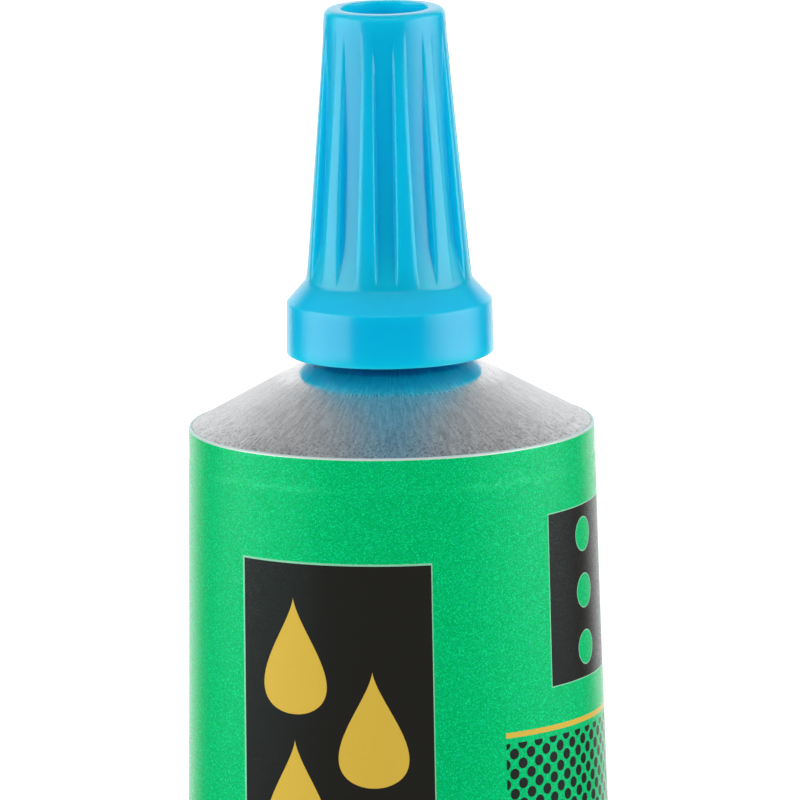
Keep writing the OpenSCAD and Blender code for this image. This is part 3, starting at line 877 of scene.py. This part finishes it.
# A sheet carried along that path: its two faces lie half a thickness to each side. It starts as thick
# as the pressed wall and comes down to one layer, and it thins out at both ends of its width.
path_z = fold_path[:, 1:]
path_step = np.gradient(fold_path, axis=0)
path_step /= np.linalg.norm(path_step, axis=1)[:, None]
path_side = np.stack([-path_step[:, 1], path_step[:, 0]], -1)
width_count = 190
width = fold_half_w * np.linspace(-1, 1, width_count)
sheet_x = np.concatenate([width, width[::-1]])
sheet_side = np.concatenate([np.ones(width_count), -np.ones(width_count)])
lens = np.sqrt(np.clip(1 - (sheet_x / fold_half_w) ** 2, 0, 1))
first_bend = np.arange(len(fold_path))[:, None] < 2 * arc_steps
from_wall = smooth(tail_z - bend_h, tail_z, path_z) * first_bend
edge_thin = thin_share + (1 - thin_share) * smooth(fold_half_w, fold_half_w - thin_w, np.abs(sheet_x))
half_t = layer_t / 2 * edge_thin * (1 - from_wall) + from_wall * np.maximum(press_t / 2 * lens, least_t)
ribs = rib_h / 2 * np.cos(2 * np.pi * sheet_x / rib_step) * smooth(
    tail_z - rib_start, tail_z - rib_full, path_z)
fold_y = fold_path[:, :1] + path_side[:, :1] * half_t * sheet_side + ribs
fold_z = path_z + path_side[:, 1:] * half_t * sheet_side
fold_rings = np.stack([np.broadcast_to(sheet_x, fold_y.shape), fold_y, fold_z], -1)
fold = skin("tail_fold_dressed", fold_rings, along(fold_path), folded)
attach(fold, "tube")
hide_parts("tail_fold")


# Floor and studio: a pale painted floor takes the shadow and runs out to white. Soft boxes light the
# tube from both sides and from above, and fill lamps add light that gloss doesn't mirror. The surround
# that gloss does mirror is white behind the tube and dark in front of it.
floor_half = 3.0
glow_near, glow_far, glow_start = 0.05, 0.42, 0.42
white = (1.0, 1.0, 1.0, 1.0)
floor_grey, floor_light = (0.56, 0.56, 0.56, 1.0), (0.6, 0.6, 0.6, 1.0)
floor_mesh = bpy.data.meshes.new("floor")
floor_mesh.from_pydata([(-floor_half, -floor_half, 0), (floor_half, -floor_half, 0),
                        (floor_half, floor_half, 0), (-floor_half, floor_half, 0)], [], [(0, 1, 2, 3)])
floor = bpy.data.objects.new("floor", floor_mesh)
bpy.context.collection.objects.link(floor)
floor_paint, tree, shader = new_finish("floor_paint")
floor_place = places(tree)
floor_far = add(tree, "VectorMath", {0: floor_place}, operation="LENGTH").outputs["Value"]
floor_noise = noise(tree, floor_place, scale=40.0, detail=2.0)
path = add(tree, "LightPath").outputs
seen = calc(tree, "MAXIMUM", path["Is Camera Ray"], path["Is Transmission Ray"])
seen = calc(tree, "MAXIMUM", seen, path["Is Glossy Ray"])
glow = ramp(tree, floor_far, glow_near, glow_far, glow_start, 1.0)
feed(tree, shader, {
    "Base Color": blend(tree, floor_noise, floor_grey, floor_light),
    "Roughness": 0.9,
    "Specular IOR Level": 0.0,
    "Emission Color": white,
    "Emission Strength": calc(tree, "MULTIPLY", seen, glow)})
floor_mesh.materials.append(floor_paint)
floor.visible_glossy = False
floor.visible_diffuse = False


def mix(tree, share, first, second):
    """A value that goes from the first to the second as the share goes from 0 to 1. Inputs 2 and 3 of
    a Mix node are its values."""
    return add(tree, "Mix", {0: share, 2: first, 3: second}).outputs[0]


# Surround: what gloss mirrors goes by the direction it looks in, from dark in front to white behind,
# with a grey sky and a darker top. The camera sees plain white.
dark_level, white_level, white_from, white_to = 0.05, 1.15, 0.75, 0.87
sky_level, sky_from, sky_to = 0.43, 0.42, 0.85
top_share, top_from = 0.15, 0.93
under_cap_level = 1.8
world = bpy.data.worlds.new("studio")
world.use_nodes = True
world.cycles.sampling_method = "NONE"
bpy.context.scene.world = world
tree = world.node_tree
look_x, look_y, look_z = add(
    tree, "SeparateXYZ", {0: add(tree, "TexCoord").outputs["Generated"]}).outputs
level_far = calc(tree, "SQRT", calc(
    tree, "ADD", calc(tree, "MULTIPLY", look_x, look_x), calc(tree, "MULTIPLY", look_y, look_y)))
behind = ramp(
    tree, calc(tree, "DIVIDE", look_y, level_far), white_from, white_to, dark_level, white_level)
mirrored = mix(tree, ramp(tree, look_z, sky_from, sky_to), behind, sky_level)
mirrored = calc(tree, "MULTIPLY", mirrored, ramp(tree, look_z, top_from, 1.0, 1.0, top_share))
# Light that comes to a surface by way of the gloss beside it, as under the cap, is brighter
path = add(tree, "LightPath").outputs
under_cap = calc(
    tree, "MULTIPLY", calc(tree, "GREATER_THAN", path["Diffuse Depth"], 0.5), path["Is Glossy Ray"])
seen = calc(tree, "MAXIMUM", path["Is Camera Ray"], path["Is Transmission Ray"])
level = mix(tree, seen, mix(tree, under_cap, mirrored, under_cap_level), 1.0)
feed(tree, tree.nodes["Background"], {"Color": white, "Strength": level})

# Lamps: place, aim, width and height, radiance, whether gloss mirrors them, and the shares of the
# width over which the light fades in and out
for name, place, aim, size, radiance, mirrors, fades in (
        ("softbox_left", (-0.25, -0.061, 0.175), (0.0, -0.061, 0.175),
         (0.40, 0.25), 2.25, True, (0.3, 0.02)),
        ("softbox_right", (0.25, -0.09, 0.175), (0.0, -0.09, 0.175),
         (0.50, 0.25), 2.65, True, (0.45, 0.33)),
        ("softbox_above", (0.0, -0.42, 0.62), (0.0, 0.0, 0.11), (0.6, 0.3), 0.4, True, None),
        ("fill_front", (0.0, -0.9, 0.34), (0.0, 0.0, 0.1), (1.8, 0.3), 2.9, False, None),
        ("fill_left", (-0.9, 0.0, 0.3), (0.0, 0.0, 0.1), (1.0, 1.0), 0.5, False, None),
        ("fill_right", (0.9, 0.0, 0.3), (0.0, 0.0, 0.1), (1.0, 1.0), 0.2, False, None)):
    lamp = bpy.data.lights.new(name, "AREA")
    lamp.shape = "RECTANGLE"
    lamp.size, lamp.size_y = size
    lamp.energy = radiance * np.pi * size[0] * size[1]
    if fades:
        lamp.use_nodes = True
        tree = lamp.node_tree
        on_lamp = add(tree, "NewGeometry").outputs["Parametric"]
        across = add(tree, "SeparateXYZ", {0: on_lamp}).outputs[0]
        fade_in = ramp(tree, across, 0.0, fades[0])
        fade_out = ramp(tree, across, 1.0, 1 - fades[1])
        feed(tree, tree.nodes["Emission"], {"Strength": calc(tree, "MULTIPLY", fade_in, fade_out)})
    light = bpy.data.objects.new(name, lamp)
    light.location = place
    light.rotation_euler = (Vector(aim) - Vector(place)).to_track_quat("-Z", "Y").to_euler()
    light.visible_camera = False
    light.visible_glossy = mirrors
    bpy.context.collection.objects.link(light)

# Camera: far off with a long lens, looking down by about ten degrees and leaning by about one
camera_far, camera_rise, camera_lean = 0.70, 10.2, -0.985
frame_w = 0.04324
camera_aim = Vector((0.00048, 0.0, 0.1063))
camera_data = bpy.data.cameras.new("camera")
camera_data.sensor_width = 36.0
camera_data.lens = camera_data.sensor_width * camera_far / frame_w
camera_data.clip_start = 0.01
camera_data.clip_end = 20.0
camera = bpy.data.objects.new("camera", camera_data)
rise = np.radians(camera_rise)
camera_place = camera_aim + camera_far * Vector((0.0, -np.cos(rise), np.sin(rise)))
facing = (camera_aim - camera_place).to_track_quat("-Z", "Y").to_matrix().to_4x4()
camera.matrix_world = (
    Matrix.Translation(camera_place) @ facing @ Matrix.Rotation(np.radians(camera_lean), 4, "Z"))
bpy.context.collection.objects.link(camera)
bpy.context.scene.camera = camera
bpy.context.scene.view_settings.view_transform = "Standard"
